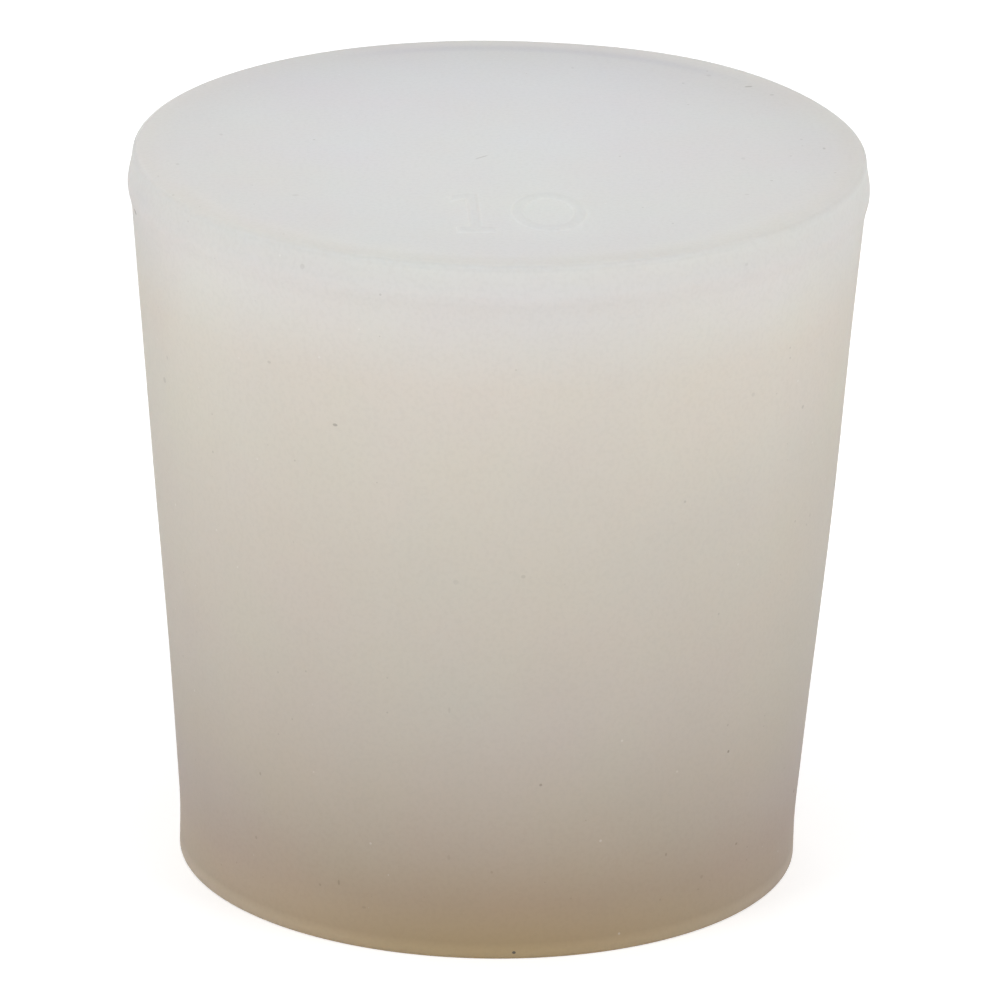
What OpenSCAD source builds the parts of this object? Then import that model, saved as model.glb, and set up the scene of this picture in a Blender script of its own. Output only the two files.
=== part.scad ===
// Tapered rubber stopper: one solid moulding, turned from a single profile.
// +Z is up the axis, and the origin is the centre of the foot's flat face.

/* [Plug] */
// Diameter across the edge of the top face
top_d = 50; // [47:0.5:60]
// Diameter of the straight land at the foot
foot_d = 42.8; // [36:0.2:44]
// Height from the foot to the top face
height = 51; // [24:0.5:80]
// Height of the straight land at the foot
land_h = 3.1; // [2.4:0.1:6]

/* [Rim] */
// Depth of the bead's crest below the top face
bead_drop = 2.5; // [2.4:0.1:2.8]
// How far the bead's crest stands out past the edge of the top face
bead_proud = 0.38; // [0.35:0.01:0.8]
// Height of the bead's underside, from the neck up to the crest
bead_underside_h = 1.3; // [1.2:0.1:2.5]
// How far the neck under the bead stands out past the edge of the top face
neck_proud = 0.05; // [0:0.01:0.1]
// Height of the lip above the bead, from its foot to the top edge
lip_h = 0.9; // [0.8:0.1:1]
// How far the foot of the lip stands out past the edge of the top face
lip_flare = 0.1; // [0:0.01:0.1]

/* [Shoulder] */
// Width of the falling shoulder round the flat of the top face
shoulder_w = 1.7; // [1.4:0.1:3]
// How far the shoulder falls from the flat to the top edge
shoulder_fall = 0.15; // [0.05:0.01:0.5]

/* [Rounding, as the run along each flank] */
// Foot edge
foot_edge_run = 0.2; // [0.1:0.1:0.8]
// Blend from the foot's land to the taper
land_blend_run = 1.2; // [0.2:0.1:1.5]
// Hollow under the bead
neck_run = 0.5; // [0.1:0.1:0.7]
// Crest of the bead
bead_run = 0.4; // [0.1:0.1:0.5]
// Hollow between the bead and the lip
lip_run = 0.4; // [0.1:0.1:0.4]
// Top edge
top_edge_run = 0.3; // [0.1:0.1:0.4]
// Start of the shoulder
shoulder_run = 0.7; // [0.1:0.1:0.8]

/* [Hidden] */
$fn = 180;
// Largest turn between two neighbouring points of an arc, in degrees
ARC_STEP = 5;
RUBBER = [0.86, 0.84, 0.80];

foot_r = foot_d / 2;
top_r = top_d / 2;
neck_r = top_r + neck_proud;
bead_r = top_r + bead_proud;
bead_z = height - bead_drop;
neck_z = bead_z - bead_underside_h;
edge_z = height - shoulder_fall;

// Corners of the half section, round from the axis at the foot: radius, height, rounding run
PROFILE = [
    [0, 0, 0],
    [foot_r, 0, foot_edge_run],
    [foot_r, land_h, land_blend_run],
    [neck_r, neck_z, neck_run],
    [bead_r, bead_z, bead_run],
    [top_r + lip_flare, edge_z - lip_h, lip_run],
    [top_r, edge_z, top_edge_run],
    [top_r - shoulder_w, height, shoulder_run],
    [0, height, 0],
];

function unit(v) = v / norm(v);
function point(corner) = [corner[0], corner[1]];
function before(corners, i) = point(corners[(i + len(corners) - 1) % len(corners)]);
function after(corners, i) = point(corners[(i + 1) % len(corners)]);

// Directions from corner i along its two flanks
function flank_in(corners, i) = unit(before(corners, i) - point(corners[i]));
function flank_out(corners, i) = unit(after(corners, i) - point(corners[i]));

// Where the rounding of corner i leaves its first flank, and the arc that touches both flanks there
function tangent_in(corners, i) = point(corners[i]) + corners[i][2] * flank_in(corners, i);
function half_angle(corners, i) = acos(flank_in(corners, i) * flank_out(corners, i)) / 2;
function arc_centre(corners, i) = point(corners[i])
    + unit(flank_in(corners, i) + flank_out(corners, i)) * corners[i][2] / cos(half_angle(corners, i));

// How far the outline, taken anticlockwise, turns at corner i: to the left at a bulge, and to the
// right, as a negative angle, in a hollow
function turn(corners, i) = sign(cross(flank_out(corners, i), flank_in(corners, i)))
    * (180 - 2 * half_angle(corners, i));

// The points of corner i's arc
function arc_points(corners, i) =
    let (
        centre = arc_centre(corners, i),
        spoke = tangent_in(corners, i) - centre,
        sweep = turn(corners, i),
        steps = ceil(abs(sweep) / ARC_STEP) + 1
    )
    [for (k = [0:steps]) let (a = sweep * k / steps)
        centre + [spoke[0] * cos(a) - spoke[1] * sin(a), spoke[0] * sin(a) + spoke[1] * cos(a)]];

// An outline with every corner that has a rounding run turned into its arc
module rounded_outline(corners) {
    polygon([for (i = [0:len(corners) - 1])
        each corners[i][2] > 0 ? arc_points(corners, i) : [point(corners[i])]]);
}

module stopper() {
    color(RUBBER) rotate_extrude() rounded_outline(PROFILE);
}

stopper();
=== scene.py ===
"""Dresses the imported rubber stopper: a milky silicone moulding with a raised size number."""

import math

import bmesh
import bpy
from mathutils import Matrix, Vector


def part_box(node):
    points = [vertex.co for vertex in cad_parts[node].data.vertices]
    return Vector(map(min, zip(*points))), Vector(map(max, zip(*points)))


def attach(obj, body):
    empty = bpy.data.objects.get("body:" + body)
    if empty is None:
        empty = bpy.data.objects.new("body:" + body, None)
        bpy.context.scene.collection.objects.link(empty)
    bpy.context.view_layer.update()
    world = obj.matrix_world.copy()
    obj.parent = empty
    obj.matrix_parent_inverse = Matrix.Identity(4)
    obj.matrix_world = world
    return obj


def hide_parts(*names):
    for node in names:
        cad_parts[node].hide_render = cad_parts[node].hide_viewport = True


# Lengths are given in mm and angles in degrees, except where a comment says otherwise
MM = 0.001

# ---------------------------------------------------------------- sizes
# The half section: the same driving sizes as the CAD solid, with its height from the frame
TOP_D = 50.0
FOOT_D = 42.8
LAND_H = 3.1
BEAD_DROP = 2.5
BEAD_PROUD = 0.38
BEAD_UNDERSIDE_H = 1.3
NECK_PROUD = 0.05
LIP_H = 0.9
LIP_FLARE = 0.1
SHOULDER_W = 1.7
SHOULDER_FALL = 0.15
FLAT_MARGIN = 1.5  # width of the ring of faces kept round each flat face

# Rounding of each corner, as the run along its flanks
FOOT_EDGE_RUN = 0.2
LAND_BLEND_RUN = 1.2
NECK_RUN = 0.5
BEAD_RUN = 0.4
LIP_RUN = 0.4
TOP_EDGE_RUN = 0.3
SHOULDER_RUN = 0.7
ROUNDING_SEGMENTS = 6
AROUND = 240  # faces round the axis
FLANK_CUTS = 15  # cuts up the long taper, so that it can swell
MERGE_WITHIN = 0.001  # corners this close become one
SHARP_FROM = 35  # the angle between two faces from which their edge is shown sharp

# The raised size number 10 on the top face
NUMBER_H = 8.4
NUMBER_ROOT = 0.3  # how far its strokes reach down into the body
ONE_CENTRE = (-2.45, -14.3)
ONE_FOOT_W = 2.9
ONE_FLAG_W = 1.1
ONE_FLAG_DROP = 0.5
ZERO_CENTRE = (2.6, -14.05)
ZERO_W = 5.3
ZERO_SEGMENTS = 48
STROKE_W = 1.1  # along X, at the stroke's foot
STROKE_H = 1.4  # along Y, at the stroke's foot
# A stroke's soft flank, from its foot to its crown, as steps inwards and upwards
STROKE_FLANK = [(0.1, 0.02), (0.1, 0.055), (0.1, 0.055), (0.1, 0.02)]

# A soft moulding is never quite true
TOP_SHIFT = 0.045  # how far the top lies to the right of the axis
FOOT_SHIFT = -0.09  # and the foot
# Where a flank stands out or sets in: its side (1 right, -1 left), middle height, reach, amount
SWELLS = [(1, 25, 16, 0.145), (-1, 15, 14, -0.07)]
RISE = 0.2  # how far the rim stands up at its highest place
RISE_TURN = 140  # where that is, round from the front
RISE_SPREAD = 35  # and how far it reaches to each side
# How steeply these fade away from the top, the foot and the rim
TOP_POWER = 20
FOOT_POWER = 6
RIM_POWER = 8

# ---------------------------------------------------------------- colours and objects
WHITE = (1.0, 1.0, 1.0, 1.0)


def rgb(red, green, blue):
    """A screen colour, 0 to 255 in each channel, as the linear colour that a shader takes."""

    def linear(value):
        value /= 255
        return value / 12.92 if value <= 0.04045 else ((value + 0.055) / 1.055) ** 2.4

    return (linear(red), linear(green), linear(blue), 1.0)


def grey(level):
    """The same linear level in each channel."""
    return (level, level, level, 1.0)


def link(obj):
    bpy.context.scene.collection.objects.link(obj)
    return obj


def finished(name, bm):
    """A new smooth-shaded object with that mesh, which ends the bmesh."""
    mesh = bpy.data.meshes.new(name)
    bm.to_mesh(mesh)
    bm.free()
    mesh.shade_smooth()
    return link(bpy.data.objects.new(name, mesh))


# ---------------------------------------------------------------- the moulding
def section_corners(height):
    """Corners of the half section between the two flat faces: radius, height, rounding run."""
    foot_r = FOOT_D / 2
    top_r = TOP_D / 2
    bead_z = height - BEAD_DROP
    edge_z = height - SHOULDER_FALL
    shoulder_r = top_r - SHOULDER_W
    return [
        (foot_r - FLAT_MARGIN, 0, 0),
        (foot_r, 0, FOOT_EDGE_RUN),
        (foot_r, LAND_H, LAND_BLEND_RUN),
        (top_r + NECK_PROUD, bead_z - BEAD_UNDERSIDE_H, NECK_RUN),
        (top_r + BEAD_PROUD, bead_z, BEAD_RUN),
        (top_r + LIP_FLARE, edge_z - LIP_H, LIP_RUN),
        (top_r, edge_z, TOP_EDGE_RUN),
        (shoulder_r, height, SHOULDER_RUN),
        (shoulder_r - FLAT_MARGIN, height, 0),
    ]


def side_radius(height, up):
    """The side's radius at a height, from the corners of the section."""
    corners = [(r, z) for r, z, _ in section_corners(height)[1:-2]]
    for (low_r, low_z), (high_r, high_z) in zip(corners, corners[1:]):
        if up <= high_z:
            return low_r + (high_r - low_r) * (up - low_z) / (high_z - low_z)
    return corners[-1][0]


def turned_body(height):
    """The stopper's body, its rounded half section spun round the axis and closed at both ends."""
    bm = bmesh.new()
    corners = section_corners(height)
    verts = [bm.verts.new((r * MM, 0, z * MM)) for r, z, _ in corners]
    for pair in zip(verts, verts[1:]):
        bm.edges.new(pair)
    for vert, (_, _, run) in zip(verts, corners):
        if run:
            bmesh.ops.bevel(
                bm,
                geom=[vert],
                offset=run * MM,
                offset_type="OFFSET",
                segments=ROUNDING_SEGMENTS,
                profile=0.5,
                affect="VERTICES",
                material=-1,
            )
    flank = max(bm.edges, key=lambda edge: edge.calc_length())
    bmesh.ops.subdivide_edges(bm, edges=[flank], cuts=FLANK_CUTS)
    bmesh.ops.spin(
        bm,
        geom=bm.verts[:] + bm.edges[:],
        cent=(0, 0, 0),
        axis=(0, 0, 1),
        angle=math.tau,
        steps=AROUND,
        use_merge=True,
    )
    bmesh.ops.holes_fill(bm, edges=[e for e in bm.edges if e.is_boundary], sides=0)
    bmesh.ops.recalc_face_normals(bm, faces=bm.faces[:])
    return finished("stopper_body", bm)


def numeral_one(bm):
    """The outline of the 1: a stem on a foot bar, with a flag at its top left."""
    half = STROKE_W / 2
    top = NUMBER_H / 2
    foot = -top + STROKE_H
    outline = [
        (-ONE_FOOT_W / 2, -top),
        (ONE_FOOT_W / 2, -top),
        (ONE_FOOT_W / 2, foot),
        (half, foot),
        (half, top),
        (-half, top),
        (-ONE_FLAG_W - half, top - ONE_FLAG_DROP),
        (-ONE_FLAG_W - half, top - ONE_FLAG_DROP - STROKE_H),
        (-half, top - STROKE_H),
        (-half, foot),
        (-ONE_FOOT_W / 2, foot),
    ]
    x, y = ONE_CENTRE
    return [bm.faces.new([bm.verts.new((x + u, y + v, 0)) for u, v in outline])]


def numeral_zero(bm):
    """The outline of the 0: the band between two ovals."""
    rims = []
    for width, length in ((ZERO_W, NUMBER_H), (ZERO_W - 2 * STROKE_W, NUMBER_H - 2 * STROKE_H)):
        ring = bmesh.ops.create_circle(bm, segments=ZERO_SEGMENTS, radius=0.5)["verts"]
        bmesh.ops.scale(bm, vec=(width, length, 1), verts=ring)
        bmesh.ops.translate(bm, vec=(*ZERO_CENTRE, 0), verts=ring)
        rims += {edge for vert in ring for edge in vert.link_edges}
    return bmesh.ops.bridge_loops(bm, edges=rims)["faces"]


def raised_number(height):
    """The size number as closed solids with soft flanks, sunk into the top face."""
    bm = bmesh.new()
    for numeral in (numeral_one, numeral_zero):
        outline = numeral(bm)
        raised = bmesh.ops.extrude_face_region(bm, geom=outline, use_keep_orig=True)["geom"]
        lifted = [v for v in raised if isinstance(v, bmesh.types.BMVert)]
        bmesh.ops.translate(bm, vec=(0, 0, NUMBER_ROOT), verts=lifted)
        crown = [f for f in raised if isinstance(f, bmesh.types.BMFace)]
        bmesh.ops.recalc_face_normals(bm, faces=bm.faces[:])
        for inwards, upwards in STROKE_FLANK:
            bmesh.ops.inset_region(
                bm,
                faces=crown,
                thickness=inwards,
                depth=upwards,
                use_boundary=True,
                use_even_offset=True,
            )
    bmesh.ops.recalc_face_normals(bm, faces=bm.faces[:])
    bmesh.ops.translate(bm, vec=(0, 0, height - NUMBER_ROOT), verts=bm.verts[:])
    bmesh.ops.scale(bm, vec=(MM, MM, MM), verts=bm.verts[:])
    return finished("size_number", bm)


def hump(value, middle, reach):
    """A soft hump: 1 at the middle, and 0 from its reach outwards."""
    nearness = max(0.0, 1 - abs(value - middle) / reach)
    return (1 - math.cos(math.pi * nearness)) / 2


def settle(mesh, height):
    """Gives the true form the small unevenness of a soft moulding."""
    for vert in mesh.vertices:
        x, y, z = vert.co / MM
        up = min(z / height, 1.0)
        out = min(math.hypot(x, y) / (TOP_D / 2), 1.0)
        turn = math.degrees(math.atan2(x, -y))
        shift = TOP_SHIFT * up**TOP_POWER + FOOT_SHIFT * (1 - up) ** FOOT_POWER
        for side, middle, reach, amount in SWELLS:
            shift += side * amount * max(0.0, side * x) / (TOP_D / 2) * hump(z, middle, reach)
        rise = RISE * hump(turn, RISE_TURN, RISE_SPREAD) * up**TOP_POWER * out**RIM_POWER
        vert.co += Vector((shift, 0, rise)) * MM


def moulding(height):
    """The body and its number as one closed skin, with their corners merged where they meet."""
    body = turned_body(height)
    number = raised_number(height)
    joined = body.modifiers.new("number", "BOOLEAN")
    joined.operation = "UNION"
    joined.solver = "EXACT"
    joined.object = number
    solved = body.evaluated_get(bpy.context.evaluated_depsgraph_get())
    mesh = bpy.data.meshes.new_from_object(solved)
    bm = bmesh.new()
    bm.from_mesh(mesh)
    bmesh.ops.remove_doubles(bm, verts=bm.verts[:], dist=MERGE_WITHIN * MM)
    bm.to_mesh(mesh)
    bm.free()
    body.modifiers.clear()
    body.data = mesh
    mesh.name = "stopper_body"
    bpy.data.objects.remove(number)
    settle(mesh, height)
    mesh.set_sharp_from_angle(angle=math.radians(SHARP_FROM))
    body.modifiers.new("flats_stay_flat", "WEIGHTED_NORMAL").keep_sharp = True
    return body


# ---------------------------------------------------------------- the silicone's looks
# A pair such as (22.0, -22.0) is a stretch over which a tint sets in. What a tint leaves is a share
# of red, green and blue, and a share over 1 makes them paler

# The side's colour at each height, mostly painted shade: milky white below the rim, a little darker
# right under it, and darker and warmer down to grey-brown at the foot, with a paler painted glow
# along the foot's very edge
SIDE_SHADE_BY_HEIGHT = [
    (0.0, rgb(198, 182, 166)),
    (1.2, rgb(171, 157, 143)),
    (4.0, rgb(171, 158, 148)),
    (8.0, rgb(177, 167, 158)),
    (12.0, rgb(183, 174, 163)),
    (18.0, rgb(191, 183, 172)),
    (24.0, rgb(198, 190, 179)),
    (30.0, rgb(203, 196, 185)),
    (36.0, rgb(208, 202, 191)),
    (42.0, rgb(214, 207, 197)),
    (45.0, rgb(216, 212, 205)),
    (47.5, rgb(218, 215, 211)),
    (48.5, rgb(214, 211, 208)),
    (49.2, rgb(209, 208, 206)),
    (50.2, rgb(206, 206, 204)),
    (51.0, rgb(205, 205, 203)),
]
# Painted shade: a tan darkening on the foot, which deepens towards the front
FOOT_SHADE_LEAVES = (0.86, 0.76, 0.52, 1.0)
FOOT_SHADE_HEIGHT = 18.0  # where it has faded out
FOOT_SHADE_HEIGHT_POWER = 1.8
FOOT_SHADE_FRONT_POWER = 1.7
# Painted shade: the side is a little greyer in its middle, and greyer again towards its left and
# right: what that leaves by x
SIDE_SHADE_BY_X = [
    (-25.5, grey(0.915)),
    (-24.0, grey(0.945)),
    (-23.0, grey(0.972)),
    (-22.0, grey(0.992)),
    (-20.5, grey(1.0)),
    (-8.5, grey(1.0)),
    (-3.0, grey(0.982)),
    (3.0, grey(0.982)),
    (8.5, grey(1.0)),
    (17.5, grey(1.0)),
    (20.0, grey(0.98)),
    (22.0, grey(0.967)),
    (23.0, grey(0.958)),
    (24.0, grey(0.94)),
    (25.5, grey(0.915)),
]
SIDE_SHADE_HEIGHTS = (49.2, 47.5)
# Painted light: the foot's left and the upper side's right are a little paler: heights, sides and
# what that leaves
PAINTED_LIGHT_PLACES = [
    ((7.0, 2.0), (-7.0, -15.0), (1.05, 1.05, 1.03, 1.0)),
    ((30.0, 38.0), (5.0, 13.0), (1.027, 1.027, 1.022, 1.0)),
]

# The top's colour by distance from its best lit place, mostly painted shade: greyer towards the
# back, with a slightly paler painted reflection at the very back edge
TOP_BEST_LIT = (-1.5, -6.5)
TOP_SHADE_BY_DISTANCE = [
    (0.0, rgb(219, 219, 221)),
    (5.0, rgb(219, 220, 221)),
    (10.0, rgb(218, 219, 221)),
    (14.5, rgb(217, 217, 219)),
    (17.0, rgb(216, 216, 218)),
    (19.0, rgb(215, 215, 217)),
    (21.0, rgb(214, 214, 216)),
    (23.0, rgb(212, 212, 214)),
    (25.0, rgb(210, 210, 212)),
    (27.5, rgb(207, 207, 208)),
    (28.8, rgb(205, 205, 206)),
    (30.0, rgb(205, 204, 204)),
    (31.5, rgb(208, 206, 205)),
]
# Painted light: the top is warmer towards the front, and towards both sides
FRONT_DEPTHS = (22.0, -22.0)
FRONT_WARM_LIGHT_LEAVES = (1.0, 1.0, 0.963, 1.0)
OUTER_SIDES = (8.0, 21.0)
OUTER_WARM_LIGHT_LEAVES = (1.016, 1.007, 0.99, 1.0)
# Painted shade: a darker streak runs just inside the back of the rim
SHADE_LINE_RADIUS = 22.6
SHADE_LINE_REACH = 1.0  # to each side of that radius
SHADE_LINE_DEPTHS = (13.0, 20.0)
SHADE_LINE_SIDES = (-13.0, -1.0)
SHADE_LINE_LEAVES = (0.93, 0.93, 0.955, 1.0)
# Painted shade: the crown of the number is a little darker
CROWN_HEIGHTS = (0.02, 0.1)  # above the face
CROWN_DEPTHS = (0.0, -8.0)
CROWN_SHADE_LEAVES = (0.96, 0.96, 0.962, 1.0)

TOP_HEIGHTS = (50.4, 50.9)  # where the side's colour gives way to the top's
# Painted shade: the thin edge of the top is darker, most at the front: what that leaves by y, from
# the front to the back
EDGE_SHADE_RADII = (22.8, 24.8)
EDGE_SHADE_HEIGHTS = (50.4, 50.8)
EDGE_SHADE_BY_DEPTH = [
    (-25.0, (0.870, 0.870, 0.865, 1.0)),
    (-20.0, (0.898, 0.896, 0.890, 1.0)),
    (0.0, (0.935, 0.932, 0.930, 1.0)),
    (12.0, WHITE),
    (25.0, WHITE),
]

# Milky clouding: its grain, and how far it shifts each channel from end to end
CLOUD_SIZE = 9.0
CLOUD_DETAIL = 3.0
CLOUD_DEPTH = 0.05
# The moulded skin: fine grain on slow waves, with their sizes and depths
SKIN_GRAIN = 0.3
SKIN_GRAIN_DETAIL = 2.0
SKIN_GRAIN_DEPTH = 0.004
SKIN_WAVE = 5.0
SKIN_WAVE_DETAIL = 1.0
SKIN_WAVE_DEPTH = 0.01
# The grain mottles the colour, and the clouding the gloss: the stretch of noise, and what it gives
MOTTLE_NOISE = (0.3, 0.6)
SKIN_MOTTLE = (0.985, 1.012)
SATIN_NOISE = (0.3, 0.7)
SKIN_ROUGHNESS = (0.5, 0.56)
# How the rubber takes light, and how far red, green and blue spread in it
REFRACTION = 1.41
SPECULAR_LEVEL = 0.1
SCATTER_REACH = 3
SCATTER_SHARES = (1.0, 0.8, 0.6)

# Grit stuck to the side: turn from the front, height, width, length, strength
SIDE_GRIT = [
    (-29, 38.5, 0.35, 0.20, 0.40),
    (-34, 49.5, 0.35, 0.35, 0.12),
    (-41, 42.0, 0.30, 0.20, 0.16),
    (-71, 37.0, 0.50, 0.40, 0.18),
    (-69, 38.9, 0.20, 0.30, 0.18),
    (-81, 47.7, 0.60, 0.40, 0.55),
    (2, 28.5, 0.30, 0.25, 0.16),
    (-9, 28.0, 0.35, 0.35, 0.08),
    (-10, 18.5, 0.15, 0.40, 0.12),
    (6, 13.0, 0.20, 0.20, 0.40),
    (44, 13.0, 0.20, 0.20, 0.52),
    (-48, 11.0, 0.18, 0.25, 0.25),
    (-10, 7.5, 0.20, 0.40, 0.10),
    (31, 6.5, 0.15, 0.25, 0.30),
    (-50, 6.0, 0.20, 0.25, 0.25),
    (75, 6.0, 0.50, 0.20, 0.45),
    (49, 5.5, 0.25, 0.18, 0.36),
    (-31, 4.5, 0.15, 0.40, 0.32),
    (40, 4.0, 0.25, 0.25, 0.20),
    (-35, 4.0, 0.20, 0.20, 0.25),
    (-26, 3.0, 0.30, 0.20, 0.18),
    (2, 0.5, 0.25, 0.20, 1.00),
    (56, 37.0, 0.30, 0.25, 0.22),
    (42, 39.5, 0.30, 0.30, 0.10),
    (38, 49.3, 0.30, 0.20, 0.09),
    (63, 28.2, 0.30, 0.30, 0.10),
    (80, 28.0, 0.80, 0.20, 0.50),
]
# Grit on the top: x, y, length, width, turn, strength. The first is a short hair
TOP_GRIT = [
    (-1.3, -2.1, 1.20, 0.14, 42, 0.24),
    (18.0, 13.5, 0.55, 0.25, 10, 0.37),
    (19.5, 11.7, 0.30, 0.30, 0, 0.18),
    (22.2, -0.2, 0.20, 0.40, 0, 0.25),
    (20.8, 1.8, 0.20, 0.30, 0, 0.11),
    (-18.9, 2.9, 0.25, 0.40, 0, 0.12),
    (-22.0, -3.6, 0.25, 0.35, 0, 0.14),
    (16.5, -2.4, 0.30, 0.50, 0, 0.09),
    (-14.2, -10.3, 0.50, 0.35, 0, 0.09),
    (16.2, -10.2, 0.30, 0.30, 0, 0.10),
    (6.0, 17.9, 0.20, 0.30, 0, 0.12),
    (15.4, 16.0, 0.35, 0.40, 0, 0.12),
]
GRIT_DEPTH = 1.5  # how far a spot reaches through the skin, so that it shows whole on a curve
GRIT_COLOUR = rgb(98, 90, 80)
SPECK_EDGE = (1.2, 0.8)  # the soft edge of a speck, in its own radii
# Fine dust and pale glints: one grain may sit in each cell, and a share of the cells does hold one,
# from the body's middle out to its foot and its sides, where more has caught
DUST_CELL = 0.9
DUST_SIZES = (0.08, 0.2)
DUST_SHARES = (0.03, 0.12)
DUST_STRENGTH = 0.21
GLINT_CELL = 1.3
GLINT_SIZES = (0.1, 0.2)
GLINT_SHARES = (0.06, 0.16)
GLINT_STRENGTH = 0.15
DUSTY_FOOT = (24.0, 2.0)
DUSTY_SIDE = (9.0, 20.0)


# ---------------------------------------------------------------- shader nodes
class Nodes:
    """A node tree, with short calls for its nodes."""

    def __init__(self, tree):
        self.tree = tree

    def node(self, kind, **settings):
        made = self.tree.nodes.new("ShaderNode" + kind)
        for name, value in settings.items():
            setattr(made, name, value)
        return made

    def feed(self, socket, value):
        """Joins a socket to another node's output, or sets it to a plain value."""
        if isinstance(value, bpy.types.NodeSocket):
            self.tree.links.new(value, socket)
        else:
            socket.default_value = value

    def maths(self, operation, *values):
        made = self.node("Math", operation=operation)
        for socket, value in zip(made.inputs, values):
            self.feed(socket, value)
        return made.outputs[0]

    def from_to(self, amount, ends):
        """Goes straight from the first to the second of two ends as amount goes from 0 to 1."""
        first, second = ends
        return self.maths("MULTIPLY_ADD", amount, second - first, first)


class Finish(Nodes):
    """A material's nodes: places in them are in metres, and the numbers that calls take in mm."""

    def __init__(self, tree):
        super().__init__(tree)
        self.place = self.node("TexCoord").outputs["Object"]
        axes = self.node("SeparateXYZ")
        self.feed(axes.inputs[0], self.place)
        self.x, self.y, self.z = axes.outputs
        self.aside = self.maths("ABSOLUTE", self.x)
        y_squared = self.maths("MULTIPLY", self.y, self.y)
        self.radius = self.maths("SQRT", self.maths("MULTIPLY_ADD", self.x, self.x, y_squared))

    def between(self, value, start, end, at_start=0.0, at_end=1.0):
        """Goes smoothly from at_start to at_end as value goes from start to end."""
        made = self.node("MapRange", interpolation_type="SMOOTHSTEP")
        sockets = ("Value", "From Min", "From Max", "To Min", "To Max")
        for name, given in zip(sockets, (value, start, end, at_start, at_end)):
            self.feed(made.inputs[name], given)
        return made.outputs["Result"]

    def over(self, value, stretch):
        """Goes smoothly from 0 to 1 as value goes along a stretch."""
        return self.between(value, *(end * MM for end in stretch))

    def part_way(self, value, start, end):
        """How far value has gone from start to end, from 0 to 1."""
        made = self.node("MapRange")
        for name, given in (("Value", value), ("From Min", start * MM), ("From Max", end * MM)):
            self.feed(made.inputs[name], given)
        return made.outputs["Result"]

    def all_of(self, *masks):
        """1 where every mask is 1, and 0 where any of them is 0."""
        product = masks[0]
        for mask in masks[1:]:
            product = self.maths("MULTIPLY", product, mask)
        return product

    def mix(self, amount, first, second, blend="MIX"):
        made = self.node("Mix", data_type="RGBA", blend_type=blend)
        factor = next(s for s in made.inputs if s.name == "Factor" and s.enabled)
        a, b = (s for s in made.inputs if s.name in ("A", "B") and s.enabled)
        for socket, value in ((factor, amount), (a, first), (b, second)):
            self.feed(socket, value)
        return next(s for s in made.outputs if s.enabled)

    def tint(self, amount, colour, leaves):
        """The colour after a tint, by what the tint leaves of it where amount is 1."""
        return self.mix(amount, colour, leaves, "MULTIPLY")

    def ramp(self, value, stops):
        """The colour at value, from stops of place and colour."""
        first, last = stops[0][0], stops[-1][0]
        made = self.node("ValToRGB")
        elements = made.color_ramp.elements
        while len(elements) < len(stops):
            elements.new(1.0)
        for element, (place, colour) in zip(elements, stops):
            element.position = (place - first) / (last - first)
            element.color = colour
        self.feed(made.inputs["Fac"], self.part_way(value, first, last))
        return made.outputs["Color"]

    def away_from(self, centre, size=(1, 1, 1), turn=0.0):
        """The distance from a centre, turned about Z and counted in steps of size."""
        offset = self.node("Mapping", vector_type="TEXTURE")
        self.feed(offset.inputs["Vector"], self.place)
        offset.inputs["Location"].default_value = [c * MM for c in centre]
        offset.inputs["Rotation"].default_value = (0, 0, math.radians(turn))
        offset.inputs["Scale"].default_value = size
        made = self.node("VectorMath", operation="LENGTH")
        self.feed(made.inputs[0], offset.outputs[0])
        return made.outputs["Value"]

    def noise(self, grain, detail):
        """Soft noise about 0.5 with a grain of that size."""
        made = self.node("TexNoise")
        self.feed(made.inputs["Vector"], self.place)
        made.inputs["Scale"].default_value = 1 / (grain * MM)
        made.inputs["Detail"].default_value = detail
        return made.outputs

    def about_one(self, noise, depth):
        """Noise about 0.5 as a tint about 1, each channel on its own."""
        made = self.node("VectorMath", operation="MULTIPLY_ADD")
        self.feed(made.inputs[0], noise)
        made.inputs[1].default_value = [depth] * 3
        made.inputs[2].default_value = [1 - depth / 2] * 3
        return made.outputs["Vector"]

    def spot(self, centre, size, turn):
        """1 inside an oval spot of that size, and 0 outside its soft edge."""
        radii = [s / 2 * MM for s in size]
        return self.between(self.away_from(centre, radii, turn), *SPECK_EDGE)

    def scattered(self, cell, sizes, share):
        """1 inside round grains strewn at random: that share of the cells holds one."""
        cells = self.node("TexVoronoi")
        self.feed(cells.inputs["Vector"], self.place)
        cells.inputs["Scale"].default_value = 1 / (cell * MM)
        chances = self.node("SeparateColor")
        self.feed(chances.inputs[0], cells.outputs["Color"])
        radius = self.from_to(chances.outputs["Green"], [size / 2 / cell for size in sizes])
        away = self.maths("DIVIDE", cells.outputs["Distance"], radius)
        held = self.maths("LESS_THAN", chances.outputs["Red"], share)
        return self.all_of(self.between(away, *SPECK_EDGE), held)

    def bump(self, height, depth, under=None):
        """The skin's direction with a bump of that depth, over the one under it."""
        made = self.node("Bump")
        self.feed(made.inputs["Height"], height)
        made.inputs["Distance"].default_value = depth * MM
        if under is not None:
            self.feed(made.inputs["Normal"], under)
        return made.outputs["Normal"]


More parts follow.
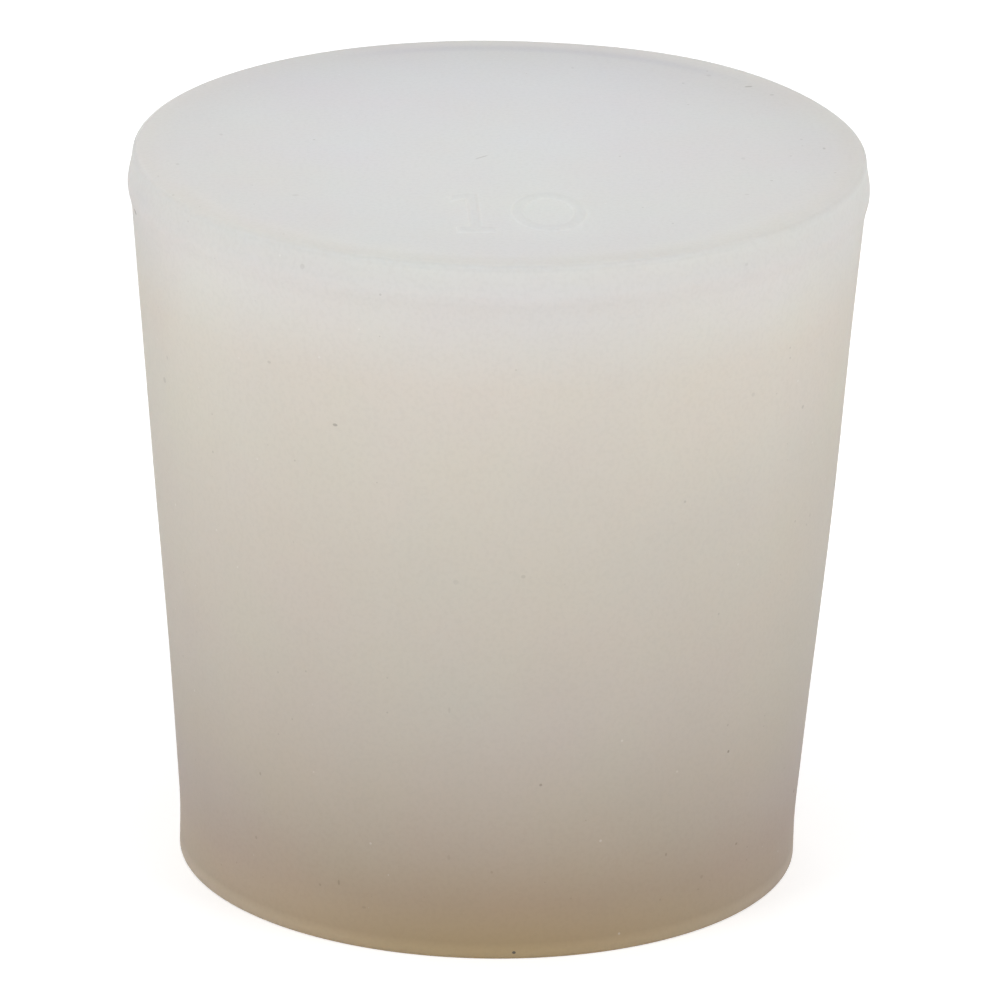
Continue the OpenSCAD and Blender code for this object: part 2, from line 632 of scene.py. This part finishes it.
# ---------------------------------------------------------------- the silicone
def side_colour_with_painted_light(finish):
    """Milky white below the rim, with painted light and shade: grey-brown at the foot, tan at its
    front.
    """
    x, y, z = finish.x, finish.y, finish.z
    # Painted shade: a tan darkening low on the front of the foot
    low = finish.maths("POWER", finish.part_way(z, FOOT_SHADE_HEIGHT, 0.0), FOOT_SHADE_HEIGHT_POWER)
    forward = finish.maths("POWER", finish.part_way(y, 0.0, -FOOT_D / 2), FOOT_SHADE_FRONT_POWER)
    colour = finish.tint(finish.all_of(low, forward), finish.ramp(z, SIDE_SHADE_BY_HEIGHT), FOOT_SHADE_LEAVES)
    # Painted shade: darker in the side's middle and towards its left and right
    side_shade = finish.ramp(x, SIDE_SHADE_BY_X)
    colour = finish.tint(finish.over(z, SIDE_SHADE_HEIGHTS), colour, side_shade)
    # Painted light: two slightly paler patches
    for heights, sides, leaves in PAINTED_LIGHT_PLACES:
        painted_light = finish.all_of(finish.over(z, heights), finish.over(x, sides))
        colour = finish.tint(painted_light, colour, leaves)
    return colour


def top_colour_with_painted_light(finish, height):
    """Pale grey, with painted light and shade: darker towards the back, inside the back of the rim
    and on the number's crown.
    """
    x, y, z = finish.x, finish.y, finish.z
    # Painted shade: a darker streak inside the back of the rim, and on the number's crown
    off_line = finish.maths("ABSOLUTE", finish.maths("SUBTRACT", finish.radius, SHADE_LINE_RADIUS * MM))
    on_line = finish.over(off_line, (SHADE_LINE_REACH, 0.0))
    line = finish.all_of(on_line, finish.over(y, SHADE_LINE_DEPTHS), finish.over(x, SHADE_LINE_SIDES))
    on_crown = finish.over(z, [height + up for up in CROWN_HEIGHTS])
    crown = finish.all_of(on_crown, finish.over(y, CROWN_DEPTHS))
    # Painted shade towards the back of the top, and painted warm light at its front and sides
    colour = finish.ramp(finish.away_from((*TOP_BEST_LIT, height)), TOP_SHADE_BY_DISTANCE)
    colour = finish.tint(finish.over(y, FRONT_DEPTHS), colour, FRONT_WARM_LIGHT_LEAVES)
    colour = finish.tint(finish.over(finish.aside, OUTER_SIDES), colour, OUTER_WARM_LIGHT_LEAVES)
    colour = finish.tint(line, colour, SHADE_LINE_LEAVES)
    return finish.tint(crown, colour, CROWN_SHADE_LEAVES)


def colour_with_painted_light(finish, height):
    """The side's and the top's colours together, with painted shade on the edge between them."""
    over_top = finish.over(finish.z, TOP_HEIGHTS)
    colour = finish.mix(over_top, side_colour_with_painted_light(finish), top_colour_with_painted_light(finish, height))
    # Painted shade on the top's thin edge
    above = finish.part_way(finish.z, *EDGE_SHADE_HEIGHTS)
    edge = finish.all_of(finish.over(finish.radius, EDGE_SHADE_RADII), above)
    return finish.tint(edge, colour, finish.ramp(finish.y, EDGE_SHADE_BY_DEPTH))


def placed_grit(height):
    """Each piece of grit that sits in its own place: centre, size, turn, strength."""
    for turn, up, width, length, strength in SIDE_GRIT:
        out, angle = side_radius(height, up), math.radians(turn)
        centre = (out * math.sin(angle), -out * math.cos(angle), up)
        yield centre, (width, GRIT_DEPTH, length), turn, strength
    for x, y, length, width, turn, strength in TOP_GRIT:
        yield (x, y, height), (length, width, GRIT_DEPTH), turn, strength


def with_specks(finish, height, colour):
    """The colour with dust, grit and glints on it."""
    foot = finish.over(finish.z, DUSTY_FOOT)
    dusty = finish.maths("MAXIMUM", foot, finish.over(finish.aside, DUSTY_SIDE))
    dust = finish.scattered(DUST_CELL, DUST_SIZES, finish.from_to(dusty, DUST_SHARES))
    grit = finish.maths("MULTIPLY", dust, DUST_STRENGTH)
    for centre, size, turn, strength in placed_grit(height):
        spot = finish.maths("MULTIPLY", finish.spot(centre, size, turn), strength)
        grit = finish.maths("MAXIMUM", grit, spot)
    colour = finish.mix(grit, colour, GRIT_COLOUR)
    glints = finish.scattered(GLINT_CELL, GLINT_SIZES, finish.from_to(dusty, GLINT_SHARES))
    return finish.mix(finish.maths("MULTIPLY", glints, GLINT_STRENGTH), colour, WHITE)


def silicone(height):
    """Milky silicone with painted light and shade: pale and grey above, tan at the foot, with a
    fine skin and a little grit.
    """
    material = bpy.data.materials.new("milky_silicone")
    material.use_nodes = True
    finish = Finish(material.node_tree)
    clouds = finish.noise(CLOUD_SIZE, CLOUD_DETAIL)
    grain = finish.noise(SKIN_GRAIN, SKIN_GRAIN_DETAIL)["Fac"]
    waves = finish.noise(SKIN_WAVE, SKIN_WAVE_DETAIL)["Fac"]

    colour = colour_with_painted_light(finish, height)
    colour = finish.tint(1.0, colour, finish.about_one(clouds["Color"], CLOUD_DEPTH))
    colour = finish.tint(1.0, colour, finish.between(grain, *MOTTLE_NOISE, *SKIN_MOTTLE))
    colour = with_specks(finish, height, colour)
    satin = finish.between(clouds["Fac"], *SATIN_NOISE, *SKIN_ROUGHNESS)
    skin = finish.bump(grain, SKIN_GRAIN_DEPTH, finish.bump(waves, SKIN_WAVE_DEPTH))

    shader = finish.tree.nodes["Principled BSDF"]
    finish.feed(shader.inputs["Base Color"], colour)
    finish.feed(shader.inputs["Roughness"], satin)
    finish.feed(shader.inputs["Normal"], skin)
    shader.inputs["IOR"].default_value = REFRACTION
    shader.inputs["Specular IOR Level"].default_value = SPECULAR_LEVEL
    shader.subsurface_method = "BURLEY"
    shader.inputs["Subsurface Weight"].default_value = 1.0
    shader.inputs["Subsurface Radius"].default_value = SCATTER_SHARES
    shader.inputs["Subsurface Scale"].default_value = SCATTER_REACH * MM
    return material


# ---------------------------------------------------------------- the studio
# Soft square lamps: name, azimuth (0 is the front, 90 the right-hand side), elevation and power
LAMPS = [
    ("left", -56, 20, 3.65),
    ("right", 56, 20, 3.35),
    ("back", 180, 30, 1.3),
]
LAMP_DISTANCE = 950
LAMP_SIZE = 500
LAMP_AIM = 25  # the height above the foot that they point at
SKY_STRENGTH = 0.62  # of the even light from all round, which itself looks plain white
FLOOR_REACH = 2.0  # metres from the stopper to each edge
FLOOR_LEVEL = 0.7  # its own grey
FLOOR_GLOW = 0.5  # what the floor adds to its own lit colour, so that it looks white too


def seen_directly(nodes):
    """1 for a ray from the camera, off a gloss or through glass, else 0."""
    rays = nodes.node("LightPath").outputs
    seen = nodes.maths("MAXIMUM", rays["Is Camera Ray"], rays["Is Glossy Ray"])
    return nodes.maths("MAXIMUM", seen, rays["Is Transmission Ray"])


def sky():
    """Even light from all round, which looks white where it is seen directly."""
    world = bpy.data.worlds.new("studio")
    bpy.context.scene.world = world
    world.use_nodes = True
    nodes = Nodes(world.node_tree)
    background = nodes.tree.nodes["Background"]
    background.inputs["Color"].default_value = WHITE
    strength = nodes.from_to(seen_directly(nodes), (SKY_STRENGTH, 1.0))
    nodes.feed(background.inputs["Strength"], strength)


def floor():
    """A matt floor that glows where it is seen directly, and still keeps the stopper's shadow."""
    bm = bmesh.new()
    bmesh.ops.create_grid(bm, x_segments=1, y_segments=1, size=FLOOR_REACH)
    obj = finished("floor", bm)
    material = bpy.data.materials.new("pale_floor")
    material.use_nodes = True
    nodes = Nodes(material.node_tree)
    matt = nodes.tree.nodes["Principled BSDF"]
    matt.inputs["Base Color"].default_value = grey(FLOOR_LEVEL)
    matt.inputs["Roughness"].default_value = 1.0
    matt.inputs["Specular IOR Level"].default_value = 0.0
    matt.inputs["Emission Color"].default_value = WHITE
    glow = nodes.maths("MULTIPLY", seen_directly(nodes), FLOOR_GLOW)
    nodes.feed(matt.inputs["Emission Strength"], glow)
    obj.data.materials.append(material)


def lamp(name, azimuth, elevation, power):
    """A soft square lamp that points at the stopper."""
    data = bpy.data.lights.new(name, "AREA")
    data.shape = "SQUARE"
    data.size = LAMP_SIZE * MM
    data.energy = power
    obj = link(bpy.data.objects.new(name, data))
    turn, rise = math.radians(azimuth), math.radians(elevation)
    level = math.cos(rise)
    away = Vector((math.sin(turn) * level, -math.cos(turn) * level, math.sin(rise)))
    obj.location = (away * LAMP_DISTANCE + Vector((0, 0, LAMP_AIM))) * MM
    obj.rotation_mode = "QUATERNION"
    obj.rotation_quaternion = (-away).to_track_quat("-Z", "Y")


# ---------------------------------------------------------------- the camera
CAMERA_DISTANCE = 727.6
CAMERA_ELEVATION = 19.9
CAMERA_ROLL = 0.95
CAMERA_AZIMUTH = -3.1
FOCAL_PIXELS = 10544.0
CENTRE_PIXEL = (493.4, 499.2)
IMAGE_PIXELS = 1000
SENSOR_W = 36.0
CAMERA_SEES = (0.1, 10)  # from how near to how far, in metres


def camera(height):
    """The camera's own axes are turned by its roll, then swung so that the lens needs no shift."""
    data = bpy.data.cameras.new("camera")
    data.sensor_width = SENSOR_W
    data.lens = FOCAL_PIXELS / IMAGE_PIXELS * SENSOR_W
    data.clip_start, data.clip_end = CAMERA_SEES
    obj = link(bpy.data.objects.new("camera", data))
    elevation = math.radians(CAMERA_ELEVATION)
    off_x, off_y = (math.atan((IMAGE_PIXELS / 2 - pixel) / FOCAL_PIXELS) for pixel in CENTRE_PIXEL)
    stand = Vector((0, -math.cos(elevation), math.sin(elevation))) * CAMERA_DISTANCE
    obj.matrix_world = (
        Matrix.Rotation(math.radians(CAMERA_AZIMUTH), 4, "Z")
        @ Matrix.Translation((stand + Vector((0, 0, height / 2))) * MM)
        @ Matrix.Rotation(math.radians(90) - elevation, 4, "X")
        @ Matrix.Rotation(math.radians(CAMERA_ROLL), 4, "Z")
        @ Matrix.Rotation(-off_x, 4, "Y")
        @ Matrix.Rotation(-off_y, 4, "X")
    )
    bpy.context.scene.camera = obj


# ---------------------------------------------------------------- the scene
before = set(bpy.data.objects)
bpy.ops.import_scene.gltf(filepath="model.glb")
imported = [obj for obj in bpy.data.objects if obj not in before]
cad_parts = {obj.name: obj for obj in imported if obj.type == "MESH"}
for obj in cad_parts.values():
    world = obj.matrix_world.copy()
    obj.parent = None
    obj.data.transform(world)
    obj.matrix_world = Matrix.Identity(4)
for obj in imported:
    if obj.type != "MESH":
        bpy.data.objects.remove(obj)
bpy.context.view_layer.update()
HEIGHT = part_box("stopper")[1].z / MM

stopper = moulding(HEIGHT)
stopper.data.materials.append(silicone(HEIGHT))
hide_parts("stopper")
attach(stopper, "root")

sky()
floor()
for row in LAMPS:
    lamp(*row)
camera(HEIGHT)
bpy.context.scene.view_settings.view_transform = "Standard"
